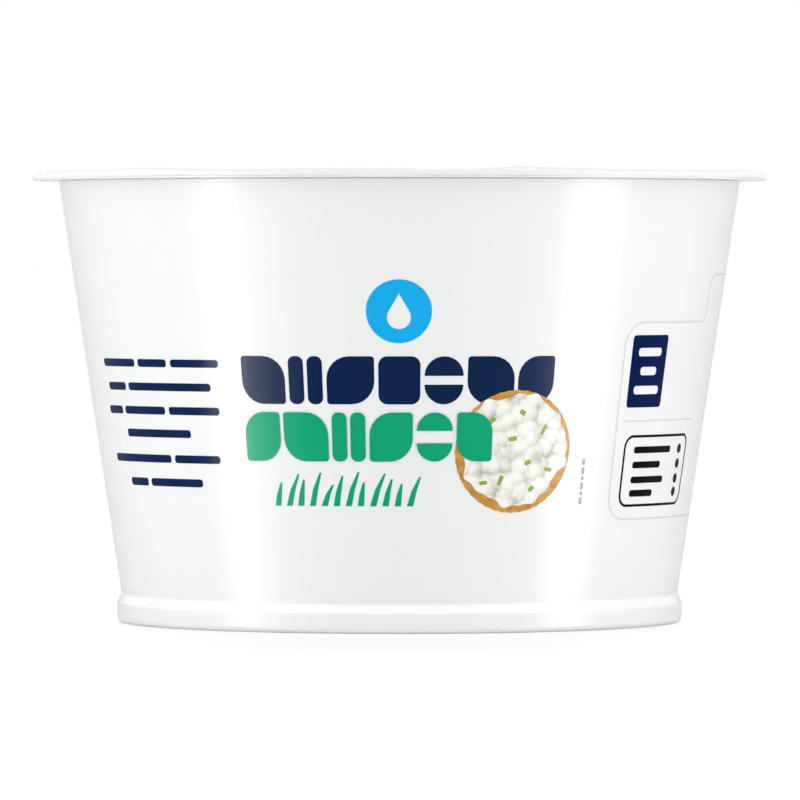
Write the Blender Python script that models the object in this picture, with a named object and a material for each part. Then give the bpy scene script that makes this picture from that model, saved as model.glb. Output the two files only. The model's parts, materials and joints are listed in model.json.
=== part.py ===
"""Sealed cottage cheese tub: a tapered plastic tub with a foot and a flange, and the film lid sealed on it.

The tub stands on z = 0 with its axis on +Z and its printed front towards -Y. All sizes are in metres.
The pack is shut, so the tub is solid up to the top of its flange.
"""

import math

import bmesh
import bpy
from mathutils import Vector

# Driving sizes
RIM_RADIUS = 0.0475
FLANGE_RADIUS = 0.04738
FLANGE_UNDERSIDE = 0.05693
FLANGE_THICKNESS = 0.0003
FLANGE_EDGE_ROUND = 0.0001
NECK_RADIUS = 0.04404
NECK_FILLET = 0.00015
WALL_FOOT_RADIUS = 0.03624
WALL_FOOT_HEIGHT = 0.0052
WAIST_RADIUS = 0.03607
WAIST_HEIGHT = 0.00375
BAND_RADIUS = 0.03656
BAND_TOP = 0.0024
BAND_CORNER = 0.00055
REST_RING_WIDTH = 0.0018
RECESS_DEPTH = 0.0012
RECESS_SLOPE = 0.0012
GATE_RADIUS = 0.0016
GATE_TIP_RADIUS = 0.0012
GATE_DEPTH = 0.0004

FILM_GAP = 0.0003
FILM_THICKNESS = 0.00033
FILM_SEAL_INNER = 0.0438
FILM_SEAL_STEP = 0.0006
FILM_FREE_EDGE = 0.0012
FILM_PANEL_DROP = 0.00012
FILM_EDGE_ROUND = 0.00012
FILM_WAVE = 0.0006
# Waves of the film's free edge: how many round the rim and their share of the height
FILM_EDGE_WAVES = ((7, 0.42), (12, 0.33), (19, 0.25))
# They all crest together at this angle from +X, a little to the right of the front
FILM_CREST_ANGLE = math.radians(-71.7)

TAB_HALF_ANGLE = math.radians(9.375)
TAB_THICKNESS = 0.0003
TAB_CLEARANCE = 0.0003
TAB_DROP = 0.0095
TAB_LEAN = 0.0006
# The fold's middle and the tip's shoulder as shares: how far out and down the fold is, how far down the shoulder
TAB_FOLD_OUT = 0.7
TAB_FOLD_DOWN = 0.7
TAB_SHOULDER = 0.68
TAB_TIP_WIDTH = 0.66

SEGMENTS = 96
ARC_STEPS = 4
MERGE = 0.000001
SHARP_ANGLE = math.radians(35)
UPRIGHT_SLOPE = 0.3

FLANGE_TOP = FLANGE_UNDERSIDE + FLANGE_THICKNESS
FILM_UNDERSIDE = FLANGE_TOP + FILM_GAP
FILM_TOP = FILM_UNDERSIDE + FILM_THICKNESS


def clear_scene():
    for old in list(bpy.data.objects):
        bpy.data.objects.remove(old, do_unlink=True)


def plain_material(name, colour, roughness):
    material = bpy.data.materials.new(name)
    material.use_nodes = True
    shader = material.node_tree.nodes["Principled BSDF"]
    shader.inputs["Base Color"].default_value = (*colour, 1.0)
    shader.inputs["Roughness"].default_value = roughness
    shader.inputs["Metallic"].default_value = 0.0
    return material


def arc(centre, radius, start, end, steps=ARC_STEPS):
    """Points of a round corner in the profile's plane, from the angle start to the angle end, in degrees."""
    points = []
    for step in range(steps + 1):
        angle = math.radians(start + (end - start) * step / steps)
        points.append((centre[0] + radius * math.cos(angle), centre[1] + radius * math.sin(angle)))
    return points


def ease(start, end, steps=ARC_STEPS):
    """Points of a soft S between two points, level with the wall at both ends, without its first point."""
    points = []
    for step in range(1, steps + 1):
        share = step / steps
        smooth = share * share * (3 - 2 * share)
        points.append((start[0] + (end[0] - start[0]) * smooth, start[1] + (end[1] - start[1]) * share))
    return points


def tub_profile():
    """The tub's outline from the middle of its top, over the flange, down the wall and in under the foot."""
    edge = FLANGE_RADIUS - FLANGE_EDGE_ROUND
    points = [(0.0, FLANGE_TOP)]
    points += arc((edge, FLANGE_TOP - FLANGE_EDGE_ROUND), FLANGE_EDGE_ROUND, 90, 0, 2)
    points += arc((edge, FLANGE_UNDERSIDE + FLANGE_EDGE_ROUND), FLANGE_EDGE_ROUND, 0, -90, 2)
    points += arc((NECK_RADIUS + NECK_FILLET, FLANGE_UNDERSIDE - NECK_FILLET), NECK_FILLET, 90, 180, 2)
    wall_foot = (WALL_FOOT_RADIUS, WALL_FOOT_HEIGHT)
    waist = (WAIST_RADIUS, WAIST_HEIGHT)
    points.append(wall_foot)
    points += ease(wall_foot, waist, 2)
    points += ease(waist, (BAND_RADIUS, BAND_TOP))
    corner = (BAND_RADIUS - BAND_CORNER, BAND_CORNER)
    points += arc(corner, BAND_CORNER, 0, -90)
    ring_inner = BAND_RADIUS - BAND_CORNER - REST_RING_WIDTH
    points.append((ring_inner, 0.0))
    points += ease((ring_inner, 0.0), (ring_inner - RECESS_SLOPE, RECESS_DEPTH), 3)
    points.append((GATE_RADIUS, RECESS_DEPTH))
    points.append((GATE_TIP_RADIUS, RECESS_DEPTH - GATE_DEPTH))
    points.append((0.0, RECESS_DEPTH - GATE_DEPTH))
    return points


def film_profile():
    """The film's outline from the middle of its top, over its edge and back under it."""
    panel = FILM_TOP - FILM_PANEL_DROP
    points = [(0.0, panel), (FILM_SEAL_INNER / 2, panel), (FILM_SEAL_INNER, panel)]
    points.append((FILM_SEAL_INNER + FILM_SEAL_STEP, FILM_TOP))
    points.append((RIM_RADIUS - FILM_FREE_EDGE, FILM_TOP))
    points += arc((RIM_RADIUS - FILM_EDGE_ROUND, FILM_TOP - FILM_EDGE_ROUND), FILM_EDGE_ROUND, 90, 0, 2)
    points.append((RIM_RADIUS, FILM_UNDERSIDE))
    points.append((RIM_RADIUS - FILM_FREE_EDGE, FILM_UNDERSIDE))
    points.append((FILM_SEAL_INNER, FILM_UNDERSIDE))
    points.append((0.0, FILM_UNDERSIDE))
    return points


def turned_object(name, profile, material):
    """Turns a profile once round Z and closes it into one solid."""
    mesh = bpy.data.meshes.new(name)
    shape = bmesh.new()
    corners = [shape.verts.new((radius, 0.0, height)) for radius, height in profile]
    edges = [shape.edges.new(pair) for pair in zip(corners, corners[1:])]
    bmesh.ops.spin(
        shape,
        geom=corners + edges,
        cent=Vector((0, 0, 0)),
        axis=Vector((0, 0, 1)),
        angle=math.tau,
        steps=SEGMENTS,
        use_merge=True,
        use_normal_flip=False,
    )
    bmesh.ops.remove_doubles(shape, verts=shape.verts, dist=MERGE)
    bmesh.ops.recalc_face_normals(shape, faces=shape.faces)
    shape.to_mesh(mesh)
    shape.free()
    mesh.materials.append(material)
    turned = bpy.data.objects.new(name, mesh)
    bpy.context.scene.collection.objects.link(turned)
    return turned


def edge_wave(angle):
    """Height of the film's free edge above its plain level, from 0 to FILM_WAVE, and 0 where the tab folds."""
    total = 0.0
    for count, share in FILM_EDGE_WAVES:
        total += share * math.cos(count * (angle - FILM_CREST_ANGLE))
    off_back = abs(math.remainder(angle - math.pi / 2, math.tau))
    fade = min(max(off_back / TAB_HALF_ANGLE - 1.0, 0.0), 1.0)
    return FILM_WAVE * (0.5 + 0.5 * total) * fade


def lift_film_edge(shape):
    """Raises the film's free edge in soft waves that fade out over the seal."""
    for vertex in shape.verts:
        radius = math.hypot(vertex.co.x, vertex.co.y)
        reach = (radius - FILM_SEAL_INNER) / (RIM_RADIUS - FILM_SEAL_INNER)
        if reach > 0:
            vertex.co.z += edge_wave(math.atan2(vertex.co.y, vertex.co.x)) * min(reach, 1.0) ** 2


def pull_tab_stations():
    """The folded tab's inner and outer skin, as radius and height, and its width, from the fold to the tip."""
    inner = RIM_RADIUS + TAB_CLEARANCE
    outer = inner + TAB_THICKNESS
    fold_inner = (RIM_RADIUS + TAB_CLEARANCE * TAB_FOLD_OUT, FILM_UNDERSIDE)
    fold_outer = (RIM_RADIUS + (outer - RIM_RADIUS) * TAB_FOLD_OUT, FILM_TOP - TAB_THICKNESS * TAB_FOLD_DOWN)
    below = FILM_UNDERSIDE - TAB_CLEARANCE
    shoulder = FILM_UNDERSIDE - TAB_DROP * TAB_SHOULDER
    lean = TAB_LEAN * TAB_SHOULDER
    tip = FILM_UNDERSIDE - TAB_DROP
    return (
        (fold_inner, fold_outer, 1.0),
        ((inner, below), (outer, below), 1.0),
        ((inner - lean, shoulder), (outer - lean, shoulder), 1.0),
        ((inner - TAB_LEAN, tip), (outer - TAB_LEAN, tip), TAB_TIP_WIDTH),
    )


def add_pull_tab(shape):
    """Draws the rim's upright faces at the back out and down, one station at a time, into the folded tab."""
    outer_skin = shape.verts.layers.int.new("outer_skin")
    faces = []
    for face in shape.faces:
        centre = face.calc_center_median()
        at_rim = math.hypot(centre.x, centre.y) > RIM_RADIUS - FILM_EDGE_ROUND
        at_back = abs(math.atan2(centre.x, centre.y)) < TAB_HALF_ANGLE
        if at_rim and at_back and abs(face.normal.z) < UPRIGHT_SLOPE:
            faces.append(face)
            for vertex in face.verts:
                vertex[outer_skin] = int(vertex.co.z > centre.z)
    for inner, outer, width in pull_tab_stations():
        drawn = bmesh.ops.extrude_face_region(shape, geom=faces)["geom"]
        bmesh.ops.delete(shape, geom=faces, context="FACES")
        faces = [item for item in drawn if isinstance(item, bmesh.types.BMFace)]
        for vertex in (item for item in drawn if isinstance(item, bmesh.types.BMVert)):
            off_back = math.atan2(vertex.co.x, vertex.co.y) * width
            radius, height = outer if vertex[outer_skin] else inner
            vertex.co = (radius * math.sin(off_back), radius * math.cos(off_back), height)


def make_tub():
    white_plastic = plain_material("white_plastic", (0.86, 0.87, 0.87), 0.32)
    return turned_object("tub", tub_profile(), white_plastic)


def make_film():
    film = turned_object("lid_film", film_profile(), plain_material("lid_film", (0.88, 0.89, 0.89), 0.38))
    shape = bmesh.new()
    shape.from_mesh(film.data)
    lift_film_edge(shape)
    shape.normal_update()
    add_pull_tab(shape)
    bmesh.ops.recalc_face_normals(shape, faces=shape.faces)
    shape.to_mesh(film.data)
    shape.free()
    return film


def shade(turned):
    turned.data.shade_smooth()
    turned.data.set_sharp_from_angle(angle=SHARP_ANGLE)


clear_scene()
for piece in (make_tub(), make_film()):
    shade(piece)
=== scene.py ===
import json
import math

import bpy
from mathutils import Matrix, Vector, noise

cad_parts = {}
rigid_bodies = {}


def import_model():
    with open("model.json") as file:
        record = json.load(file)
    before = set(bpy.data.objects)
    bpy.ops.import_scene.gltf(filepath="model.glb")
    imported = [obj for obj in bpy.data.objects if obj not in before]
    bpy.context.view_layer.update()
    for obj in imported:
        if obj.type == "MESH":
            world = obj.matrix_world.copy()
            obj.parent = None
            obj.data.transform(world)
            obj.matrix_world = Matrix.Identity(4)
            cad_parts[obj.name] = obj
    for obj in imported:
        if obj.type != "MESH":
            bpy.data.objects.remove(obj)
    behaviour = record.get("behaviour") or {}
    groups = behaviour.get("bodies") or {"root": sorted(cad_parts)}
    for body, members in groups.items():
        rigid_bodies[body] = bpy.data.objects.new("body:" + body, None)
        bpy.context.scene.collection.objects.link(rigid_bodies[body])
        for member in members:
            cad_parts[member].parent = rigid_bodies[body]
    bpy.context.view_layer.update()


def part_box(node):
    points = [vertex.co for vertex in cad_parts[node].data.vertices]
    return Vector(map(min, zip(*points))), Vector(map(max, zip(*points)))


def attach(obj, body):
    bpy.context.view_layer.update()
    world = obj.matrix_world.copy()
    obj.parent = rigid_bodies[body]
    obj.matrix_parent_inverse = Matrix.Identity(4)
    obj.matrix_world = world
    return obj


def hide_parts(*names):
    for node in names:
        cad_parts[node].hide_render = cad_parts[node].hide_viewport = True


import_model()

mm = 0.001
quarterTurn = math.pi / 2
joinGap = 0.002 * mm        # vertices closer than this are made one
tubLow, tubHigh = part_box("tub")
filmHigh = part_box("lid_film")[1]
rimRadius = filmHigh.x
print("frame loaded, the tub is", round((tubHigh.z - tubLow.z) / mm, 2), "mm high")


# Small helpers for working on one piece at a time

def selectOnly(piece):
    if bpy.context.object and bpy.context.object.mode != "OBJECT":
        bpy.ops.object.mode_set(mode="OBJECT")
    bpy.ops.object.select_all(action="DESELECT")
    piece.hide_set(False)
    piece.select_set(True)
    bpy.context.view_layer.objects.active = piece


def newPiece(name):  # a small plane to start from, open in edit mode
    bpy.ops.object.select_all(action="DESELECT")
    bpy.ops.mesh.primitive_plane_add(size=mm, location=(0, 0, 0))
    piece = bpy.context.object
    piece.name = name
    piece.data.name = name
    bpy.ops.object.mode_set(mode="EDIT")
    return piece


def emptySheet(name):  # open in edit mode, with nothing in it yet
    piece = newPiece(name)
    bpy.ops.mesh.select_mode(type="VERT")
    bpy.ops.mesh.delete(type="VERT")
    return piece


def applied(piece, kind, **settings):  # one modifier, set and applied
    selectOnly(piece)
    modifier = piece.modifiers.new(kind.lower(), kind)
    for key, value in settings.items():
        setattr(modifier, key, value)
    bpy.ops.object.modifier_apply(modifier=modifier.name)


def smooth(piece, degrees):
    selectOnly(piece)
    bpy.ops.object.shade_smooth_by_angle(angle=math.radians(degrees))


def finished(piece, material):
    piece.data.materials.clear()
    piece.data.materials.append(material)
    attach(piece, "root")


def arcPoints(centre, radius, start, end, steps):  # a round corner of an outline, angles in degrees
    points = []
    for step in range(steps + 1):
        angle = math.radians(start + (end - start) * step / steps)
        points.append((centre[0] + radius * math.cos(angle), centre[1] + radius * math.sin(angle)))
    return points


def easePoints(start, end, steps):  # a soft S between two points of an outline, without the first
    points = []
    for step in range(1, steps + 1):
        share = step / steps
        bend = share * share * (3 - 2 * share)
        points.append((start[0] + (end[0] - start[0]) * bend, start[1] + (end[1] - start[1]) * share))
    return points


def turned(name, outline, steps):  # one vertex drawn along the outline, then spun round the axis
    piece = newPiece(name)
    bpy.ops.mesh.merge(type="CENTER")
    bpy.ops.transform.translate(value=(outline[0][0], 0, outline[0][1]))
    for before, after in zip(outline, outline[1:]):
        move = (after[0] - before[0], 0, after[1] - before[1])
        bpy.ops.mesh.extrude_vertices_move(TRANSFORM_OT_translate={"value": move})
    bpy.ops.mesh.select_all(action="SELECT")
    bpy.ops.mesh.spin(steps=steps, angle=math.tau, center=(0, 0, 0), axis=(0, 0, 1), use_auto_merge=True)
    bpy.ops.mesh.select_all(action="SELECT")
    bpy.ops.mesh.remove_doubles(threshold=joinGap)
    bpy.ops.mesh.normals_make_consistent(inside=False)
    bpy.ops.object.mode_set(mode="OBJECT")
    return piece


# Node groups that several materials share

def newGroup(name, inputs, outputs):
    group = bpy.data.node_groups.new(name, "ShaderNodeTree")
    for label, kind, value in inputs:
        socket = group.interface.new_socket(label, in_out="INPUT", socket_type=kind)
        if value is not None:
            socket.default_value = value
    for label, kind in outputs:
        group.interface.new_socket(label, in_out="OUTPUT", socket_type=kind)
    return group, group.nodes.new("NodeGroupInput"), group.nodes.new("NodeGroupOutput")


grainWork = {
    "fineDetail": 2,
    "slowDetail": 3,
    "fineShare": 0.35,      # of the fine haze in the mix with the slow cloudiness
    "low": 0.3,             # the gloss runs between its two values from here
    "high": 0.7,            # to here
}


def makeGrainGroup():  # fine moulding haze with a slow cloudiness under it
    group, into, out = newGroup(
        "surfaceGrain",
        [("Vector", "NodeSocketVector", None), ("Fine Scale", "NodeSocketFloat", 2600.0),
         ("Slow Scale", "NodeSocketFloat", 60.0)],
        [("Fine", "NodeSocketFloat"), ("Slow", "NodeSocketFloat"), ("Both", "NodeSocketFloat")])
    fine = group.nodes.new("ShaderNodeTexNoise")
    fine.inputs["Detail"].default_value = grainWork["fineDetail"]
    slow = group.nodes.new("ShaderNodeTexNoise")
    slow.inputs["Detail"].default_value = grainWork["slowDetail"]
    both = group.nodes.new("ShaderNodeMix")
    both.inputs["Factor"].default_value = grainWork["fineShare"]
    link = group.links.new
    link(into.outputs["Vector"], fine.inputs["Vector"])
    link(into.outputs["Vector"], slow.inputs["Vector"])
    link(into.outputs["Fine Scale"], fine.inputs["Scale"])
    link(into.outputs["Slow Scale"], slow.inputs["Scale"])
    link(slow.outputs["Fac"], both.inputs["A"])
    link(fine.outputs["Fac"], both.inputs["B"])
    link(fine.outputs["Fac"], out.inputs["Fine"])
    link(slow.outputs["Fac"], out.inputs["Slow"])
    link(both.outputs["Result"], out.inputs["Both"])
    return group


grainGroup = makeGrainGroup()


def grainyMaterial(name, look):  # a Principled surface whose colour, gloss and relief all follow the grain
    material = bpy.data.materials.new(name)
    material.use_nodes = True
    nodes = material.node_tree.nodes
    link = material.node_tree.links.new
    shader = nodes["Principled BSDF"]
    place = nodes.new("ShaderNodeTexCoord")
    grain = nodes.new("ShaderNodeGroup")
    grain.node_tree = grainGroup
    grain.inputs["Fine Scale"].default_value = look["fineScale"]
    grain.inputs["Slow Scale"].default_value = look["slowScale"]
    link(place.outputs["Object"], grain.inputs["Vector"])
    colour = nodes.new("ShaderNodeMix")
    colour.data_type = "RGBA"
    colour.inputs["A"].default_value = (*look["colour"], 1)
    colour.inputs["B"].default_value = (*look["second"], 1)
    link(grain.outputs["Both"], colour.inputs["Factor"])
    gloss = nodes.new("ShaderNodeMapRange")
    gloss.inputs["From Min"].default_value = grainWork["low"]
    gloss.inputs["From Max"].default_value = grainWork["high"]
    gloss.inputs["To Min"].default_value = look["gloss"][0]
    gloss.inputs["To Max"].default_value = look["gloss"][1]
    link(grain.outputs["Both"], gloss.inputs["Value"])
    bump = nodes.new("ShaderNodeBump")
    bump.inputs["Strength"].default_value = look["relief"]
    bump.inputs["Distance"].default_value = look["depth"]
    link(grain.outputs["Fine"], bump.inputs["Height"])
    link(colour.outputs["Result"], shader.inputs["Base Color"])
    link(gloss.outputs["Result"], shader.inputs["Roughness"])
    link(bump.outputs["Normal"], shader.inputs["Normal"])
    shader.inputs["IOR"].default_value = look["ior"]
    return material


inkGrain = {
    "gloss": (0.15, 0.2), "fineScale": 3200, "slowScale": 70, "relief": 0.2, "depth": 0.00001, "ior": 1.5,
}
finishes = {
    "tub": {**inkGrain, "colour": (0.83, 0.835, 0.84), "second": (0.86, 0.862, 0.864),
            "fineScale": 2600, "slowScale": 45, "relief": 0.25},
    "film": {"colour": (0.785, 0.79, 0.795), "second": (0.815, 0.817, 0.82), "gloss": (0.48, 0.58),
             "fineScale": 1800, "slowScale": 120, "relief": 0.35, "depth": 0.00002, "ior": 1.3},
    "navy": {**inkGrain, "colour": (0.002, 0.016, 0.068), "second": (0.004, 0.021, 0.08)},
    "green": {**inkGrain, "colour": (0.0, 0.35, 0.168), "second": (0.001, 0.38, 0.185)},
    "blue": {**inkGrain, "colour": (0.0, 0.39, 0.8), "second": (0.001, 0.42, 0.85)},
    "grey": {**inkGrain, "colour": (0.66, 0.67, 0.685), "second": (0.72, 0.73, 0.74)},
    "darkGrey": {**inkGrain, "colour": (0.33, 0.33, 0.34), "second": (0.4, 0.4, 0.41)},
    "black": {**inkGrain, "colour": (0.003, 0.003, 0.004), "second": (0.006, 0.006, 0.007)},
    "white": {**inkGrain, "colour": (0.83, 0.835, 0.84), "second": (0.86, 0.862, 0.864),
              "fineScale": 2600, "slowScale": 45},
    "chive": {**inkGrain, "colour": (0.2, 0.34, 0.02), "second": (0.38, 0.5, 0.09),
              "fineScale": 2400, "slowScale": 900},
    "navyDeep": {**inkGrain, "colour": (0.0, 0.01, 0.066), "second": (0.001, 0.013, 0.078)},
    "biscuit": {**inkGrain, "colour": (0.12, 0.0, 0.0), "second": (1.0, 0.56, 0.1),
                "fineScale": 1900, "slowScale": 800},
    "curd": {**inkGrain, "colour": (0.8, 0.79, 0.74), "second": (0.84, 0.835, 0.8),
             "fineScale": 2600, "slowScale": 400},
}
materials = {name: grainyMaterial(name + "Finish", look) for name, look in finishes.items()}


# Printed lumps of curd: pale rounds with grey creases, lit from the upper left
def addCurdLumps(material, lumps):
    nodes = material.node_tree.nodes
    link = material.node_tree.links.new
    place = nodes.new("ShaderNodeTexCoord")
    wobble = nodes.new("ShaderNodeTexNoise")
    wobble.inputs["Scale"].default_value = lumps["wobbleScale"]
    uneven = nodes.new("ShaderNodeVectorMath")      # the place, pushed about by the noise
    uneven.operation = "MULTIPLY_ADD"
    uneven.inputs[1].default_value = [lumps["wobble"]] * 3
    shift = nodes.new("ShaderNodeVectorMath")
    shift.inputs[1].default_value = lumps["light"]
    link(place.outputs["Object"], wobble.inputs["Vector"])
    link(wobble.outputs["Color"], uneven.inputs[0])
    link(place.outputs["Object"], uneven.inputs[2])
    link(uneven.outputs["Vector"], shift.inputs[0])
    cells = []
    for source in (uneven.outputs["Vector"], shift.outputs["Vector"]):
        cell = nodes.new("ShaderNodeTexVoronoi")
        cell.feature = "SMOOTH_F1"
        cell.inputs["Scale"].default_value = lumps["scale"]
        cell.inputs["Smoothness"].default_value = lumps["melt"]
        cell.inputs["Randomness"].default_value = lumps["uneven"]
        link(source, cell.inputs["Vector"])
        cells.append(cell)
    slope = nodes.new("ShaderNodeMath")
    slope.operation = "SUBTRACT"
    link(cells[1].outputs["Distance"], slope.inputs[0])
    link(cells[0].outputs["Distance"], slope.inputs[1])
    lit = nodes.new("ShaderNodeMath")
    lit.operation = "MULTIPLY_ADD"
    lit.inputs[1].default_value = lumps["relief"]
    link(slope.outputs[0], lit.inputs[0])
    link(cells[0].outputs["Distance"], lit.inputs[2])
    ramp = nodes.new("ShaderNodeValToRGB")
    for spot, (position, colour) in zip((0, 1), (lumps["ramp"][0], lumps["ramp"][-1])):
        ramp.color_ramp.elements[spot].position = position
        ramp.color_ramp.elements[spot].color = (*colour, 1)
    for position, colour in lumps["ramp"][1:-1]:
        ramp.color_ramp.elements.new(position).color = (*colour, 1)
    link(lit.outputs[0], ramp.inputs["Fac"])
    link(ramp.outputs["Color"], nodes["Principled BSDF"].inputs["Base Color"])


curdLumps = {
    "scale": 540,
    "melt": 0.07,
    "uneven": 0.95,
    "light": (0.00026, 0.0, -0.00036),
    "relief": 1.5,
    "wobble": 0.0013,
    "wobbleScale": 900,
    "ramp": ((0.1, (0.93, 0.925, 0.885)), (0.42, (0.88, 0.87, 0.82)), (0.68, (0.74, 0.73, 0.67)),
             (0.95, (0.46, 0.45, 0.38))),
}
addCurdLumps(materials["curd"], curdLumps)
print("finishes made")


# The tub: one turned skin from the middle of its top, over the flange and wall, to the middle of its foot

tub = {
    "steps": 512,
    "flangeRadius": tubHigh.x,
    "flangeTop": tubHigh.z,
    "flangeUnderside": 56.97 * mm,
    "flangeRound": 0.09 * mm,
    "neckRadius": 44.04 * mm,
    "neckGroove": (0.25 * mm, 0.13 * mm),      # how deep and how tall
    "wallFootRadius": 36.24 * mm,
    "wallFootHeight": 5.2 * mm,
    "waistRadius": 36.07 * mm,
    "waistHeight": 3.75 * mm,
    "bandRadius": 36.56 * mm,
    "bandTop": 2.4 * mm,
    # shares of the way down and out, from the waist to the band
    "flare": ((0.06, 0.015), (0.16, 0.1), (0.84, 0.9), (0.94, 0.985), (1, 1)),
    "bandCorner": 0.8 * mm,
    "restRing": 1.8 * mm,
    "recessSlope": 1.2 * mm,
    "recessDepth": 1.2 * mm,
    "gateRadius": 1.6 * mm,
    "gateTip": 0.7,      # share of the gate's radius
    "gateDepth": 0.4 * mm,
    "edgeSteps": 5,
    "cornerSteps": 9,
    "recessSteps": 8,
    "smoothAngle": 32,
}


def tubOutline():
    top, under, neck = tub["flangeTop"], tub["flangeUnderside"], tub["neckRadius"]
    lip = tub["flangeRound"]
    edge = tub["flangeRadius"] - lip
    points = [(0, top), (neck / 2, top), (neck, top)]
    points += arcPoints((edge, top - lip), lip, 90, 0, tub["edgeSteps"])
    points += arcPoints((edge, under + lip), lip, 0, -90, tub["edgeSteps"])
    deep, tall = tub["neckGroove"]
    points += [(neck - deep, under), (neck - deep, under - tall), (neck, under - tall)]
    wallFoot = (tub["wallFootRadius"], tub["wallFootHeight"])
    waist = (tub["waistRadius"], tub["waistHeight"])
    points.append(wallFoot)
    points += easePoints(wallFoot, waist, tub["edgeSteps"])
    for down, out in tub["flare"]:
        radius = waist[0] + (tub["bandRadius"] - waist[0]) * out
        points.append((radius, waist[1] + (tub["bandTop"] - waist[1]) * down))
    corner = tub["bandCorner"]
    points += arcPoints((tub["bandRadius"] - corner, corner), corner, 0, -90, tub["cornerSteps"])
    ring = (tub["bandRadius"] - corner - tub["restRing"], 0)
    recess = (ring[0] - tub["recessSlope"], tub["recessDepth"])
    points.append(ring)
    points += easePoints(ring, recess, tub["recessSteps"])
    points.append((tub["gateRadius"], tub["recessDepth"]))
    gate = (tub["gateRadius"] * tub["gateTip"], tub["recessDepth"] - tub["gateDepth"])
    points += [gate, (0, gate[1])]
    return points


tubSkin = turned("tubSkin", tubOutline(), tub["steps"])
smooth(tubSkin, tub["smoothAngle"])
finished(tubSkin, materials["tub"])
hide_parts("tub")
print("tub turned")


# The sealing film: a turned disc, then its edge is waved, drooped and drawn down into the tab at the back

film = {
    "steps": 960,
    "under": tubHigh.z + 0.03 * mm,
    "panelMiddle": 57.6 * mm,
    "panelEdge": 57.74 * mm,
    "panelRadius": 43.2 * mm,
    "panelRings": 22,
    "sealTop": 58.0 * mm,
    "sealInner": 44.4 * mm,
    "grooveDepth": 0.06 * mm,
    "panelWave": 0.07 * mm,
    "panelWaveScale": 70.0,
    "grooves": (44.95 * mm, 45.5 * mm, 46.05 * mm),
    "grooveHalf": 0.16 * mm,
    "edgeSteps": 5,
    "shoulderRadius": 46.9 * mm,
    "shoulderInset": 0.3 * mm,
    "shoulderRise": 0.02 * mm,
    "shoulderTall": 0.38 * mm,
    "shoulderSteps": 8,
    "hem": 57.2 * mm,
    "sheet": 0.1 * mm,
    # the hem's edge: in from the rim in sheet thicknesses, up from the hem
    "hemOutline": ((0, 0.06 * mm), (0.3, 0), (0.7, 0), (1, 0.06 * mm), (1, 0.18 * mm), (3, 0.24 * mm)),
    "underRise": 0.22 * mm,
    "underRadius": 46.2 * mm,
    "clear": tubHigh.x + 0.01 * mm,      # the hem stays outside the flange's edge
    "panelDepth": 0.1 * mm,      # what is higher than this over the underside is the panel's top
    "hemStart": 0.05 * mm,       # the hem's slope starts this far below the seal's top
    # crinkles of the edge: how fast along the edge, the two other places in the noise, height in mm
    "crinkles": ((0.55, (0, 3), 0.05), (1.7, (7, 0), 0.025)),
    "smoothAngle": 40,
}
# Crests and dips of the free edge: angle from the front in degrees, lift in mm, width in degrees
edgeCrests = (
    (-88, -0.08, 9), (-60, 0.05, 9), (-42, 0.23, 9), (-25, -0.05, 7), (-8, 0.07, 9), (6, -0.09, 3.5),
    (18.5, 0.34, 4.5), (27, 0.16, 6), (53, -0.04, 4), (66, 0.15, 6), (92, -0.1, 9), (112, 0.2, 10),
    (131, -0.1, 7), (149, 0.22, 8), (-112, 0.18, 9), (-128, -0.08, 8), (-150, 0.21, 9),
)
# Where the hem hangs lower or lifts: angle from the front in degrees, drop in mm, width in degrees
hemDroops = (
    (-3.4, 0.24, 3.6), (-14, -0.02, 4), (33, 0.16, 6), (56, 0.2, 2.2), (-37, -0.02, 5), (-70, 0.12, 7),
    (84, 0.1, 6), (104, 0.16, 7), (125, -0.03, 6), (142, 0.18, 5), (-96, 0.15, 6), (-120, 0.1, 8),
    (-143, -0.03, 6),
)
tab = {
    "halfAngle": 9.2,      # degrees each side of the back
    "depth": 9.35 * mm,
    "corner": 2.6 * mm,
    "out": 0.34 * mm,
    "lean": 0.6 * mm,
    "fold": 2.2,         # how soon the fold stands out, and how its length is spread below
    "spread": 1.5,
    "calm": 8,           # degrees beside the tab over which the waves come back
    "calmShare": 0.8,
}


def filmOutline():
    points = []
    rise = film["panelEdge"] - film["panelMiddle"]
    for ring in range(film["panelRings"] + 1):
        share = ring / film["panelRings"]
        points.append((film["panelRadius"] * share, film["panelMiddle"] + rise * share ** 2))
    top, under = film["sealTop"], film["under"]
    points += easePoints(points[-1], (film["sealInner"], top), film["edgeSteps"])
    half = film["grooveHalf"]
    for groove in film["grooves"]:
        points += [(groove - half, top), (groove, top - film["grooveDepth"]), (groove + half, top)]
    shoulder = film["shoulderRadius"]
    points.append((shoulder - film["shoulderInset"], top + film["shoulderRise"]))
    across = rimRadius - shoulder
    tall = film["shoulderTall"]
    for step in range(film["shoulderSteps"] + 1):  # the rounded shoulder, a quarter of an ellipse
        angle = math.radians(90 - 90 * step / film["shoulderSteps"])
        points.append((shoulder + across * math.cos(angle), top - tall + tall * math.sin(angle)))
    for sheets, up in film["hemOutline"]:
        points.append((rimRadius - film["sheet"] * sheets, film["hem"] + up))
    points.append((shoulder - film["shoulderInset"], film["hem"] + film["underRise"]))
    for radius in (film["underRadius"], film["panelRadius"], film["panelRadius"] / 2, 0):
        points.append((radius, under))
    return points


def bellSum(bells, angle):  # all crests of a list at an angle, in degrees from the front
    total = 0
    for centre, height, width in bells:
        away = math.remainder(angle - centre, 360) / width
        total += height * math.exp(-away * away)
    return total * mm


def tabDepth(angle):  # how far the hem is drawn down at an angle, 0 outside the tab
    side = abs(math.remainder(angle - 180, 360))
    if side > tab["halfAngle"]:
        return 0
    toEdge = math.radians(tab["halfAngle"] - side) * rimRadius
    if toEdge > tab["corner"]:
        return tab["depth"]
    return tab["depth"] - tab["corner"] + math.sqrt(tab["corner"] ** 2 - (tab["corner"] - toEdge) ** 2)


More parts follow.
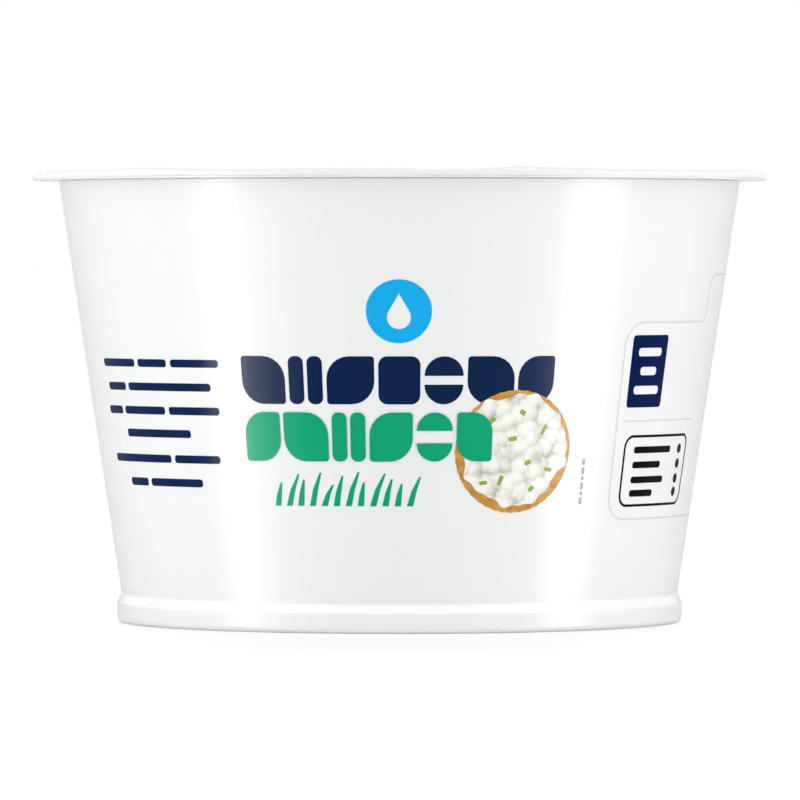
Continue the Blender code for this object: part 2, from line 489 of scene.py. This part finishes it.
def crinkleAt(angle):  # fine unevenness of the edge, in mm
    return sum(noise.noise(Vector((angle * pace, *seed))) * size for pace, seed, size in film["crinkles"])


def shapeFilmEdge(piece):
    seal = film["shoulderRadius"] - film["panelRadius"]
    for vertex in piece.data.vertices:
        place = vertex.co
        radius = math.hypot(place.x, place.y)
        if radius < film["panelRadius"]:
            if place.z > film["under"] + film["panelDepth"]:      # the panel's top, slack and a little uneven
                slack = noise.noise(place * film["panelWaveScale"]) * film["panelWave"]
                vertex.co.z += slack * (1 - (radius / film["panelRadius"]) ** 4)
            continue
        angle = math.degrees(math.atan2(place.x, -place.y))
        reach = min((radius - film["panelRadius"]) / seal, 1)
        fallen = film["sealTop"] - film["hemStart"] - place.z
        down = min(max(fallen / (film["sealTop"] - film["hem"]), 0), 1)
        skirt = down if radius > film["shoulderRadius"] else 0
        depth = tabDepth(angle)
        besideTab = max(abs(math.remainder(angle - 180, 360)) - tab["halfAngle"], 0)
        nearTab = max(0, 1 - besideTab / tab["calm"])
        lift = bellSum(edgeCrests, angle) * reach ** 2 * (1 - tab["calmShare"] * nearTab) * (1 - down)
        drop = bellSum(hemDroops, angle) * skirt * (1 - nearTab)
        crinkle = crinkleAt(angle)
        outward = crinkle * mm * skirt * (1 - nearTab)
        height = place.z + lift - drop + crinkle * mm * reach * (1 - down)
        if depth > 0 and skirt > 0:
            bulge = math.sin(min(skirt * tab["fold"], 1) * quarterTurn) * tab["out"]
            outward = bulge - tab["lean"] * skirt * skirt
            height = place.z - depth * skirt ** tab["spread"]
        elif radius > film["clear"]:
            outward = min(max(outward, film["clear"] - radius), rimRadius - radius)
        else:
            outward = min(outward, 0)
            height = max(height, film["under"])
        grown = (radius + outward) / radius
        vertex.co = (place.x * grown, place.y * grown, height)


filmLid = turned("filmLid", filmOutline(), film["steps"])
shapeFilmEdge(filmLid)
smooth(filmLid, film["smoothAngle"])
finished(filmLid, materials["film"])
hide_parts("lid_film")
print("film turned and waved")


# Print: flat sheets drawn on the unrolled wall (x along the wall, z up), then bent, laid on the wall and
# thickened. The sheets are drawn in mm, and a lift keeps each layer above the one below it.

sheetWork = {
    "unrolled": 40.0,       # radius that x is measured on, so x = angle * unrolled
    "slice": 1.0,           # from cut to cut
    "ink": 0.015,           # thickness of a sheet
    "firstLift": 0.01,
    "layer": 0.02,          # lift from one layer to the next
    "cornerSteps": 5,       # of a plate's corners
    "roundSteps": 6,        # of a drawn outline's corners
    "smoothAngle": 30,
}


def plate(x, z, width, height, corner=0.0, lean=0.0):  # one rounded plate, middle at x and z
    bpy.ops.mesh.select_all(action="DESELECT")
    middle = (x * mm, 0, z * mm)
    bpy.ops.mesh.primitive_plane_add(size=1, location=middle, rotation=(quarterTurn, 0, 0))
    bpy.ops.transform.resize(value=(width * mm, 1, height * mm), center_override=middle)
    if corner:
        bpy.ops.mesh.bevel(offset=corner * mm, segments=sheetWork["cornerSteps"], affect="VERTICES")
    if lean:
        bpy.ops.transform.rotate(value=math.radians(lean), orient_axis="Y", center_override=middle)


def disc(x, z, radius, sides):
    bpy.ops.mesh.select_all(action="DESELECT")
    middle = (x * mm, 0, z * mm)
    bpy.ops.mesh.primitive_circle_add(vertices=sides, radius=radius * mm, fill_type="NGON",
                                      location=middle, rotation=(quarterTurn, 0, 0))


def trace(points):  # one flat face with this outline: a vertex drawn from point to point, then filled
    bpy.ops.mesh.select_all(action="DESELECT")
    bpy.ops.mesh.primitive_plane_add(size=mm, location=(points[0][0] * mm, 0, points[0][1] * mm))
    bpy.ops.mesh.merge(type="CENTER")
    for before, after in zip(points, points[1:]):
        move = ((after[0] - before[0]) * mm, 0, (after[1] - before[1]) * mm)
        bpy.ops.mesh.extrude_vertices_move(TRANSFORM_OT_translate={"value": move})
    bpy.ops.mesh.select_linked()
    bpy.ops.mesh.edge_face_add()


def traceLine(points, width):  # only a line of this width along the inside of a closed outline
    trace(points)
    bpy.ops.mesh.inset(thickness=width * mm, use_boundary=True)
    bpy.ops.mesh.delete(type="FACE")


def boxOutline(left, bottom, right, top, radii):  # radii anticlockwise from the bottom left
    corners = ((left, bottom, 1, 1, 180), (right, bottom, -1, 1, 270),
               (right, top, -1, -1, 0), (left, top, 1, -1, 90))
    points = []
    for (x, z, towardX, towardZ, start), radius in zip(corners, radii):
        if radius:
            centre = (x + towardX * radius, z + towardZ * radius)
            points += arcPoints(centre, radius, start, start + 90, sheetWork["roundSteps"])
        else:
            points.append((x, z))
    return points


def faceOut(piece):  # every face of a flat sheet looks to -Y, away from the wall
    bpy.ops.object.mode_set(mode="OBJECT")
    for part in (piece.data.vertices, piece.data.edges):
        part.foreach_set("select", [False] * len(part))
    for face in piece.data.polygons:
        face.select = face.normal.y > 0
    bpy.ops.object.mode_set(mode="EDIT")
    bpy.ops.mesh.select_mode(type="FACE")
    bpy.ops.mesh.flip_normals()


def sliceSheet(piece, both):  # cuts close enough together for the sheet to follow what it lies on
    bpy.ops.object.mode_set(mode="OBJECT")
    xs = [vertex.co.x for vertex in piece.data.vertices]
    zs = [vertex.co.z for vertex in piece.data.vertices]
    bpy.ops.object.mode_set(mode="EDIT")
    runs = [(min(xs), max(xs), (1, 0, 0))]
    if both:
        runs.append((min(zs), max(zs), (0, 0, 1)))
    pitch = sheetWork["slice"] * mm
    for low, high, across in runs:
        at = (math.floor(low / pitch) + 0.5) * pitch
        while at < high:
            if at > low:
                bpy.ops.mesh.select_all(action="SELECT")
                bpy.ops.mesh.bisect(plane_co=[side * at for side in across], plane_no=across)
            at += pitch
    bpy.ops.object.mode_set(mode="OBJECT")
    return max(xs) - min(xs)


def layOnWall(piece, lift):
    width = sliceSheet(piece, False)
    radius = sheetWork["unrolled"] * mm
    piece.location = (0, -radius, 0)
    applied(piece, "SIMPLE_DEFORM", deform_method="BEND", deform_axis="Z", angle=width / radius)
    applied(piece, "SHRINKWRAP", target=tubSkin, wrap_method="PROJECT", wrap_mode="ABOVE_SURFACE",
            use_negative_direction=True, use_positive_direction=True, offset=lift * mm)
    applied(piece, "SOLIDIFY", thickness=sheetWork["ink"] * mm, offset=1)
    bpy.ops.object.transform_apply(location=True, rotation=False, scale=False)
    smooth(piece, sheetWork["smoothAngle"])


lidPrint = {"scale": 1.2, "x": 0.0, "y": -36.5}      # place in mm


def layOnFilm(piece, lift):  # the same sheets laid flat on the film, to be read from the front
    selectOnly(piece)
    scale = lidPrint["scale"]
    bpy.ops.object.mode_set(mode="EDIT")
    bpy.ops.mesh.select_all(action="SELECT")
    bpy.ops.transform.resize(value=(scale, 1, scale), center_override=(0, 0, 0))
    sliceSheet(piece, True)
    piece.rotation_euler = (-quarterTurn, 0, 0)
    piece.location = (lidPrint["x"] * mm, lidPrint["y"] * mm, filmHigh.z + mm)
    bpy.ops.object.transform_apply(location=True, rotation=True, scale=False)
    applied(piece, "SHRINKWRAP", target=filmLid, wrap_method="PROJECT", wrap_mode="ABOVE_SURFACE",
            use_project_z=True, use_negative_direction=True, use_positive_direction=False, offset=lift * mm)
    applied(piece, "SOLIDIFY", thickness=sheetWork["ink"] * mm, offset=1)
    smooth(piece, sheetWork["smoothAngle"])


# What the print is made of: fields of colour and simple shapes

block = {
    "corner": 1.1,
    "leafCorner": 2.9, "leafShare": 0.55, "leafPoint": 0.4,
    "splitGap": 0.45, "splitCorner": 0.75,
    "archGap": 0.2, "archSteps": 14,
}


def leafBlock(x, bottom, width, height, way):  # a block with two far corners drawn round, like a broad leaf
    big = min(block["leafCorner"], width * block["leafShare"])
    small = block["corner"] * block["leafPoint"]
    radii = (big, small, big, small) if way > 0 else (small, big, small, big)
    trace(boxOutline(x - width / 2, bottom, x + width / 2, bottom + height, radii))


def splitBlock(x, bottom, width, height):  # two upright halves with a gap
    part = (width - block["splitGap"]) / 2
    corner = block["corner"] * block["splitCorner"]
    for side in (-1, 1):
        plate(x + side * (width - part) / 2, bottom + height / 2, part, height, corner)


def archPair(x, bottom, width, height):  # a half disc standing on a half disc
    radius = min(width / 2, height / 2 - block["archGap"])
    middle = bottom + height / 2
    for side, start in ((1, 0), (-1, 180)):
        flat = middle + side * (height / 2 - radius)
        trace(arcPoints((x, flat), radius, start, start + 180, block["archSteps"]))


def drawBlocks(row):
    at = row["left"]
    bottom, height = row["bottom"], row["height"]
    for width, kind in row["blocks"]:
        x = at + width / 2
        if kind == "leaf":
            leafBlock(x, bottom, width, height, 1)
        elif kind == "leafBack":
            leafBlock(x, bottom, width, height, -1)
        elif kind == "split":
            splitBlock(x, bottom, width, height)
        elif kind == "arches":
            archPair(x, bottom, width, height)
        else:
            plate(x, bottom + height / 2, width, height, block["corner"])
        at += width + row["gap"]


headline = {
    "left": -20.4, "bottom": 28.75, "height": 6.0, "gap": 0.5,
    "blocks": ((5.9, "leaf"), (4.4, "split"), (6.0, "leafBack"), (5.2, "plain"), (4.9, "arches"),
               (6.1, "leaf"), (4.9, "leafBack")),
}
secondLine = {
    "left": -20.4, "bottom": 21.6, "height": 6.15, "gap": 0.5,
    "blocks": ((4.9, "leafBack"), (5.9, "leaf"), (4.3, "split"), (5.5, "leafBack"), (4.6, "arches"),
               (4.7, "leaf")),
}


def drawHeadline():
    drawBlocks(headline)


def drawSecondLine():
    drawBlocks(secondLine)


blades = {
    "left": -16.4, "bottom": 16.0, "pitch": 1.62, "width": 0.82,
    "heights": (2.9, 4.0, 3.3, 4.2, 2.7, 3.8, 4.3, 3.0, 4.1, 3.4, 2.8, 3.7),
    "leans": (12, 20, 9, 16, 24, 13, 18, 8, 21, 14, 10, 19),      # degrees to the right
    "taper": 0.7, "sweep": 1.4,
}


def drawBlades():  # chive blades, each narrowing to its tip
    half = blades["width"] / 2
    for number, (height, lean) in enumerate(zip(blades["heights"], blades["leans"])):
        foot = blades["left"] + blades["pitch"] * number
        slope = math.tan(math.radians(lean))
        points = []
        for side, shares in ((1, (0, 0.5, 1)), (-1, (1, 0.5, 0))):
            for share in shares:
                wide = half * (1 - blades["taper"] * share ** 2)
                aside = slope * height * share ** blades["sweep"]
                points.append((foot + side * wide + aside, blades["bottom"] + height * share))
        trace(points)


sideRows = {
    "height": 1.0, "gap": 0.75, "corner": 0.42,
    # middle height, left end, then the lengths of its bars
    "rows": (
        (33.7, -47.6, (8.6, 5.8, 7.9)),
        (30.7, -46.9, (5.0, 15.9)),
        (27.7, -47.8, (4.2, 9.2, 8.7)),
        (24.8, -43.0, (13.7,)),
        (21.6, -47.8, (14.3, 8.0)),
        (18.6, -43.8, (4.6, 10.4)),
    ),
}


def drawSideRows():
    height = sideRows["height"]
    for middle, left, lengths in sideRows["rows"]:
        at = left
        for length in lengths:
            plate(at + length / 2, middle, length, height, height * sideRows["corner"])
            at += length + sideRows["gap"]


mark = {
    "x": -0.05, "z": 40.35, "radius": 3.98, "sides": 72,
    "dropRadius": 1.45, "dropLow": 0.75, "dropTall": 4.4,
    "dropArc": (148, 392, 26),      # first and last angle in degrees, and steps
}


def drawMark():
    disc(mark["x"], mark["z"], mark["radius"], mark["sides"])


def drawMarkDrop():  # a plain drop: three quarters of a disc drawn up to a tip
    low = mark["z"] - mark["dropLow"]
    tip = (mark["x"], low - mark["dropRadius"] + mark["dropTall"])
    trace([tip] + arcPoints((mark["x"], low), mark["dropRadius"], *mark["dropArc"]))


biscuit = {
    "x": 15.15, "z": 22.8, "radius": 7.68, "stretch": 1.04,
    "scallops": 40, "scallopDepth": 0.035, "stepsEach": 6,
    "curdRadius": 7.0, "curdAside": 0.1, "curdUp": 0.25, "curdSteps": 180,
    # waves of the heap's edge: how many round it, how deep, and turned by how much
    "curdWaves": ((3, 0.1, 0.4), (5, 0.2, 1.9), (8, 0.17, 3.1), (13, 0.15, 5.2), (21, 0.11, 0.7)),
    # aside, up, turn, length and width
    "chiveBits": ((-3.3, 3.9, 35, 1.1, 0.55), (0.8, 4.9, -35, 0.8, 0.62), (3.9, 2.7, 64, 1.4, 0.4),
                  (-0.4, 1.6, 8, 1.15, 0.55), (1.9, -1.4, 25, 0.85, 0.6), (4.9, -2.3, -12, 1.1, 0.45),
                  (-1.8, -3.6, 68, 1.3, 0.5), (2.6, -4.7, 42, 0.8, 0.55), (-4.1, -3.9, 5, 1.0, 0.5)),
    "chiveCorner": 0.3,
}


def drawBiscuit():
    points = []
    steps = biscuit["scallops"] * biscuit["stepsEach"]
    for step in range(steps):
        angle = math.tau * step / steps
        radius = biscuit["radius"] + biscuit["scallopDepth"] * math.cos(angle * biscuit["scallops"])
        across = radius * math.cos(angle) * biscuit["stretch"]
        points.append((biscuit["x"] + across, biscuit["z"] + radius * math.sin(angle)))
    trace(points)


def drawCurd():  # the heap of curd, with an uneven edge
    points = []
    middle = (biscuit["x"] + biscuit["curdAside"], biscuit["z"] + biscuit["curdUp"])
    for step in range(biscuit["curdSteps"]):
        angle = math.tau * step / biscuit["curdSteps"]
        radius = biscuit["curdRadius"]
        radius += sum(size * math.sin(count * angle + turn) for count, size, turn in biscuit["curdWaves"])
        across = radius * math.cos(angle) * biscuit["stretch"]
        points.append((middle[0] + across, middle[1] + radius * math.sin(angle)))
    trace(points)


def drawChives():
    for aside, up, turn, length, width in biscuit["chiveBits"]:
        plate(biscuit["x"] + aside, biscuit["z"] + up, length, width, width * biscuit["chiveCorner"], turn)


panel = {
    "left": 30.6, "stepX": 49.4, "right": 84.3, "bottom": 13.8, "step": 39.0, "top": 45.0, "line": 0.26,
    "corner": 3.2, "concave": 1.3, "topCorner": 1.9, "cornerSteps": 8, "smallSteps": 6,
}


def panelOutline():
    left, right, stepX = panel["left"], panel["right"], panel["stepX"]
    bottom, step, top = panel["bottom"], panel["step"], panel["top"]
    corner, concave, topCorner = panel["corner"], panel["concave"], panel["topCorner"]
    steps, smallSteps = panel["cornerSteps"], panel["smallSteps"]
    points = arcPoints((left + corner, bottom + corner), corner, 180, 270, steps)
    points += arcPoints((right - corner, bottom + corner), corner, 270, 360, steps)
    points += arcPoints((right - corner, top - corner), corner, 0, 90, steps)
    points += arcPoints((stepX + topCorner, top - topCorner), topCorner, 90, 180, smallSteps)
    points += arcPoints((stepX - concave, step + concave), concave, 360, 270, smallSteps)
    points += arcPoints((left + corner, step - corner), corner, 90, 180, steps)
    return points


def drawPanel():
    traceLine(panelOutline(), panel["line"])


badge = {
    "left": 32.1, "right": 39.2, "bottom": 28.1, "top": 37.25, "corner": 0.5,
    "barHeights": (35.1, 32.7, 30.3), "barLengths": (4.6, 3.2, 5.0), "bar": 1.05,
}
barRound = 0.4      # a bar's corner as a share of its height


def drawBadge():
    trace(boxOutline(badge["left"], badge["bottom"], badge["right"], badge["top"], [badge["corner"]] * 4))


def drawBadgeBars():
    middle = (badge["left"] + badge["right"]) / 2
    for z, length in zip(badge["barHeights"], badge["barLengths"]):
        plate(middle, z, length, badge["bar"], badge["bar"] * barRound)


divider = {"left": 32.2, "right": 49.6, "z": 26.4, "height": 0.2}


def drawDivider():
    middle = (divider["left"] + divider["right"]) / 2
    plate(middle, divider["z"], divider["right"] - divider["left"], divider["height"])


smallColumn = {
    "x": 25.65, "width": 0.42,
    # foot and length of each bar
    "bars": ((16.0, 0.9), (17.15, 0.5), (17.9, 0.9), (19.05, 0.5), (19.8, 0.9), (20.95, 0.8)),
}


def drawSmallColumn():
    width = smallColumn["width"]
    for foot, length in smallColumn["bars"]:
        plate(smallColumn["x"], foot + length / 2, width, length, width * barRound)


table = {
    "left": 32.6, "right": 49.0, "bottom": 15.5, "top": 24.6, "corner": 1.6, "line": 0.32,
    "rowLeft": 34.7, "rowHeights": (22.7, 20.8, 18.9, 17.2), "row": 0.85, "rowLengths": (8.8, 6.4, 7.6, 5.2),
    "dotX": 46.4, "dotRadius": 0.62, "dotSides": 24,
}


def drawTable():
    corners = [table["corner"]] * 4
    box = boxOutline(table["left"], table["bottom"], table["right"], table["top"], corners)
    traceLine(box, table["line"])
    for z, length in zip(table["rowHeights"], table["rowLengths"]):
        plate(table["rowLeft"] + length / 2, z, length, table["row"], table["row"] * barRound)
        disc(table["dotX"], z, table["dotRadius"], table["dotSides"])


sidePanel = {
    "left": 63.6, "row": 0.55,
    "rows": (41.8, 40.2, 38.6, 37.0, 35.4), "lengths": (17.6, 16.2, 17.9, 12.4, 15.1),
    "boxBottom": 16.2, "boxTop": 32.6, "boxRight": 81.6, "boxCorner": 0.8, "boxLine": 0.2,
    "boxRows": (30.2, 27.4, 24.6, 21.8, 19.0), "boxShort": (6.2, 8.1, 5.4, 7.2, 4.9), "boxInset": 1.4,
    "rightBar": 2.6, "rightBarInset": 2.9, "rule": 0.12, "ruleDrop": 1.4, "ruleShort": 1.2,
}


def drawSidePanel():
    left, right, row = sidePanel["left"], sidePanel["boxRight"], sidePanel["row"]
    for z, length in zip(sidePanel["rows"], sidePanel["lengths"]):
        plate(left + length / 2, z, length, row, row * barRound)
    corners = [sidePanel["boxCorner"]] * 4
    box = boxOutline(left, sidePanel["boxBottom"], right, sidePanel["boxTop"], corners)
    traceLine(box, sidePanel["boxLine"])
    for z, length in zip(sidePanel["boxRows"], sidePanel["boxShort"]):
        plate(left + sidePanel["boxInset"] + length / 2, z, length, row, row * barRound)
        plate(right - sidePanel["rightBarInset"], z, sidePanel["rightBar"], row, row * barRound)
        if z != sidePanel["boxRows"][-1]:      # a fine rule under every row but the last
            width = right - left - sidePanel["ruleShort"]
            plate((left + right) / 2, z - sidePanel["ruleDrop"], width, sidePanel["rule"])


# Name, drawing, finish, slot and layer of each printed piece, and where it is printed besides the front
printPlan = (
    ("markDisc", drawMark, "blue", "ink_blue", 0, "back lid"),
    ("markDrop", drawMarkDrop, "white", "tub_plastic", 1, "back lid"),
    ("headlineBlocks", drawHeadline, "navy", "ink_navy", 0, "back lid"),
    ("biscuitDisc", drawBiscuit, "biscuit", "ink_tan", 1, "back lid"),
    ("curdHeap", drawCurd, "curd", "ink_cream", 2, "back lid"),
    ("chiveBits", drawChives, "chive", "ink_green", 3, "back lid"),
    ("secondBlocks", drawSecondLine, "green", "ink_green", 4, "back lid"),
    ("chiveBlades", drawBlades, "green", "ink_green", 0, "back lid"),
    ("sideRowBars", drawSideRows, "navy", "ink_navy", 0, "back"),
    ("panelLine", drawPanel, "grey", "ink_grey", 0, ""),
    ("panelDivider", drawDivider, "grey", "ink_grey", 0, ""),
    ("smallColumnBars", drawSmallColumn, "darkGrey", "ink_grey", 0, ""),
    ("badgeField", drawBadge, "navyDeep", "ink_navy", 0, ""),
    ("badgeBars", drawBadgeBars, "white", "tub_plastic", 1, ""),
    ("tableBox", drawTable, "black", "ink_black", 0, ""),
    ("sidePanelRows", drawSidePanel, "navy", "ink_navy", 0, ""),
)
backTurn = 191.0        # degrees from the front


def copyOf(piece, name):
    twin = piece.copy()
    twin.data = piece.data.copy()
    twin.name = name
    twin.data.name = name
    bpy.context.scene.collection.objects.link(twin)
    return twin


def turnToBack(piece, name):
    twin = copyOf(piece, name)
    selectOnly(twin)
    twin.rotation_euler = (0, 0, math.radians(backTurn))
    bpy.ops.object.transform_apply(location=False, rotation=True, scale=False)
    return twin


def makePrint():
    for name, draw, finish, slotName, layer, besides in printPlan:
        sheet = emptySheet(name)
        draw()
        faceOut(sheet)
        lift = sheetWork["firstLift"] + sheetWork["layer"] * layer
        if "lid" in besides:
            bpy.ops.object.mode_set(mode="OBJECT")
            lidSheet = copyOf(sheet, name + "Lid")
            layOnFilm(lidSheet, lift)
            finished(lidSheet, materials[finish])
            selectOnly(sheet)
            bpy.ops.object.mode_set(mode="EDIT")
        layOnWall(sheet, lift)
        finished(sheet, materials[finish])
        if "back" in besides:
            finished(turnToBack(sheet, name + "Back"), materials[finish])
        print("printed", name)


makePrint()


# Floor, light and camera

view = {
    "distance": 1.002,      # from the tub's axis
    "height": 46.9 * mm,
    "lens": 348.1,
    "sensor": 36.0,
    "aside": 0.08 * mm,
    "pitch": 1.048,         # degrees below level
    "near": 0.05,
    "far": 60,
}


def makeCamera():
    data = bpy.data.cameras.new("camera")
    data.lens = view["lens"]
    data.sensor_width = view["sensor"]
    data.clip_start = view["near"]
    data.clip_end = view["far"]
    camera = bpy.data.objects.new("camera", data)
    bpy.context.scene.collection.objects.link(camera)
    camera.location = (view["aside"], -view["distance"], view["height"])
    camera.rotation_euler = (math.radians(90 - view["pitch"]), 0, 0)
    bpy.context.scene.camera = camera


floorPlan = {"size": 60, "colour": (0.985, 0.985, 0.985), "roughness": 0.9, "drop": 0.02 * mm}


def makeFloor():
    bpy.ops.object.select_all(action="DESELECT")
    bpy.ops.mesh.primitive_plane_add(size=floorPlan["size"], location=(0, 0, -floorPlan["drop"]))
    floor = bpy.context.object
    floor.name = "floor"
    material = bpy.data.materials.new("floorFinish")
    material.use_nodes = True
    shader = material.node_tree.nodes["Principled BSDF"]
    shader.inputs["Base Color"].default_value = (*floorPlan["colour"], 1)
    shader.inputs["Roughness"].default_value = floorPlan["roughness"]
    shader.inputs["Specular IOR Level"].default_value = 0.0
    floor.data.materials.append(material)
    floor.visible_glossy = False


def around(angle, distance, height):  # a place round the tub, the angle in degrees from the front
    turn = math.radians(angle)
    return Vector((math.sin(turn) * distance, -math.cos(turn) * distance, height))


# Angles are from the front, to the right seen from the camera, in degrees
lampPlan = {
    "distance": 0.9, "width": 0.25, "height": 0.5, "lift": 15, "aim": 30 * mm,
    "lamps": (("leftLamp", -80, 1.6), ("rightLamp", 80, 1.4)),     # name, angle, watts
}


def makeLamps():
    lift = math.radians(lampPlan["lift"])
    away = lampPlan["distance"] * math.cos(lift)
    up = lampPlan["aim"] + lampPlan["distance"] * math.sin(lift)
    for name, angle, watts in lampPlan["lamps"]:
        data = bpy.data.lights.new(name, "AREA")
        data.shape = "RECTANGLE"
        data.size = lampPlan["width"]
        data.size_y = lampPlan["height"]
        data.energy = watts
        lamp = bpy.data.objects.new(name, data)
        bpy.context.scene.collection.objects.link(lamp)
        lamp.location = around(angle, away, up)
        aim = Vector((0, 0, lampPlan["aim"])) - lamp.location
        lamp.rotation_euler = aim.to_track_quat("-Z", "Y").to_euler()
        lamp.visible_camera = False
        lamp.visible_glossy = False
        data.use_shadow = False


def makeCard(name, place, turn, size, glow):
    material = bpy.data.materials.new(name + "Glow")
    material.use_nodes = True
    nodes = material.node_tree.nodes
    nodes.remove(nodes["Principled BSDF"])
    light = nodes.new("ShaderNodeEmission")
    light.inputs["Strength"].default_value = glow
    material.node_tree.links.new(light.outputs["Emission"], nodes["Material Output"].inputs["Surface"])
    bpy.ops.object.select_all(action="DESELECT")
    bpy.ops.mesh.primitive_plane_add(size=1, location=place)
    card = bpy.context.object
    card.name = name
    card.scale = (*size, 1)
    card.rotation_euler = turn
    card.data.materials.append(material)
    card.visible_camera = False
    card.visible_diffuse = False
    card.visible_shadow = False
    card.visible_transmission = False


cardPlan = {
    "distance": 0.9, "middle": 0.2, "height": 1.6,
    # name, angle, lift in degrees, width, height, glow
    "raised": (("topCard", 0, 45, 1.4, 0.55, 2.7), ("leftTopCard", -68, 36, 0.9, 0.6, 3.0),
               ("rightTopCard", 68, 36, 0.9, 0.6, 3.0), ("leftLowCard", -98, 20, 0.62, 0.6, 1.5),
               ("rightLowCard", 98, 20, 0.62, 0.6, 1.5), ("leftBackCard", -137, 18, 0.62, 0.42, 1.0),
               ("rightBackCard", 137, 18, 0.62, 0.42, 1.0)),
    # name, first angle, last angle, glow
    "cards": (("leftWideCard", -38, -50, 0.5), ("leftDimCard", -50, -58, 1.4), ("leftCard", -58, -66, 4.1),
              ("leftOuterCard", -66, -74, 2.1), ("rightInnerCard", 44, 52, 0.3),
              ("rightDimCard", 52, 58, 0.35), ("rightCard", 58, 66, 2.9), ("rightOuterCard", 66, 74, 3.7),
              ("rightEdgeCard", 74, 82, 2.4)),
}


# Glowing cards, seen only in the gloss: upright streaks on the wall, light on the flare and the rim
def makeCards():
    distance = cardPlan["distance"]
    for name, first, last, glow in cardPlan["cards"]:
        middle = (first + last) / 2
        width = 2 * distance * math.tan(math.radians(abs(last - first) / 2))
        place = around(middle, distance, cardPlan["middle"])
        makeCard(name, place, (quarterTurn, 0, math.radians(middle)), (width, cardPlan["height"]), glow)
    for name, angle, lift, width, height, glow in cardPlan["raised"]:
        up = math.radians(lift)
        place = around(angle, distance * math.cos(up), distance * math.sin(up))
        makeCard(name, place, (quarterTurn - up, 0, math.radians(angle)), (width, height), glow)


# How bright the room is at each angle from the front, the same to both sides, in degrees
roomPlan = {
    "backdrop": 1.0,        # what the camera sees
    "lights": ((0, 0.94), (20, 0.82), (40, 0.88), (60, 1.27), (80, 1.42), (100, 0.64), (120, 0.08),
               (150, 1.2), (180, 2.35)),
    "mirrored": ((0, 0.01), (100, 0.01), (130, 0.16), (150, 0.36), (180, 0.75)),
}


# White behind the tub, a brighter light from both sides, and a dim front of the room in the gloss
def makeRoom():
    world = bpy.data.worlds.new("room")
    bpy.context.scene.world = world
    world.use_nodes = True
    nodes = world.node_tree.nodes
    link = world.node_tree.links.new
    place = nodes.new("ShaderNodeTexCoord")
    parts = nodes.new("ShaderNodeSeparateXYZ")
    front = nodes.new("ShaderNodeMath")
    front.operation = "MULTIPLY"
    front.inputs[1].default_value = -1
    angle = nodes.new("ShaderNodeMath")
    angle.operation = "ARCTAN2"
    eitherSide = nodes.new("ShaderNodeMath")
    eitherSide.operation = "ABSOLUTE"
    share = nodes.new("ShaderNodeMath")
    share.operation = "DIVIDE"
    share.inputs[1].default_value = math.pi
    link(place.outputs["Generated"], parts.inputs["Vector"])
    link(parts.outputs["Y"], front.inputs[0])
    link(parts.outputs["X"], angle.inputs[0])
    link(front.outputs[0], angle.inputs[1])
    link(angle.outputs[0], eitherSide.inputs[0])
    link(eitherSide.outputs[0], share.inputs[0])
    backgrounds = {}
    for part in ("lights", "mirrored"):
        brightest = max(glow for degrees, glow in roomPlan[part])
        ramp = nodes.new("ShaderNodeValToRGB")
        ramp.name = part
        stops = ramp.color_ramp.elements
        for number, (degrees, glow) in enumerate(roomPlan[part]):
            if number > 1:
                stops.new(degrees / 180)
            stops[number].position = degrees / 180
            stops[number].color = [glow / brightest] * 3 + [1]
        background = nodes.new("ShaderNodeBackground")
        background.inputs["Strength"].default_value = brightest
        link(share.outputs[0], ramp.inputs["Fac"])
        link(ramp.outputs["Color"], background.inputs["Color"])
        backgrounds[part] = background
    backdrop = nodes["Background"]
    backdrop.inputs["Color"].default_value = (1, 1, 1, 1)
    backdrop.inputs["Strength"].default_value = roomPlan["backdrop"]
    path = nodes.new("ShaderNodeLightPath")
    seen = backgrounds["lights"]
    for ray, background in (("Is Glossy Ray", backgrounds["mirrored"]), ("Is Camera Ray", backdrop)):
        mix = nodes.new("ShaderNodeMixShader")
        link(path.outputs[ray], mix.inputs["Fac"])
        link(seen.outputs[0], mix.inputs[1])
        link(background.outputs["Background"], mix.inputs[2])
        seen = mix
    link(seen.outputs[0], nodes["World Output"].inputs["Surface"])
    bpy.context.scene.view_settings.view_transform = "Standard"


makeCamera()
makeFloor()
makeLamps()
makeCards()
makeRoom()
print("floor, light and camera set")
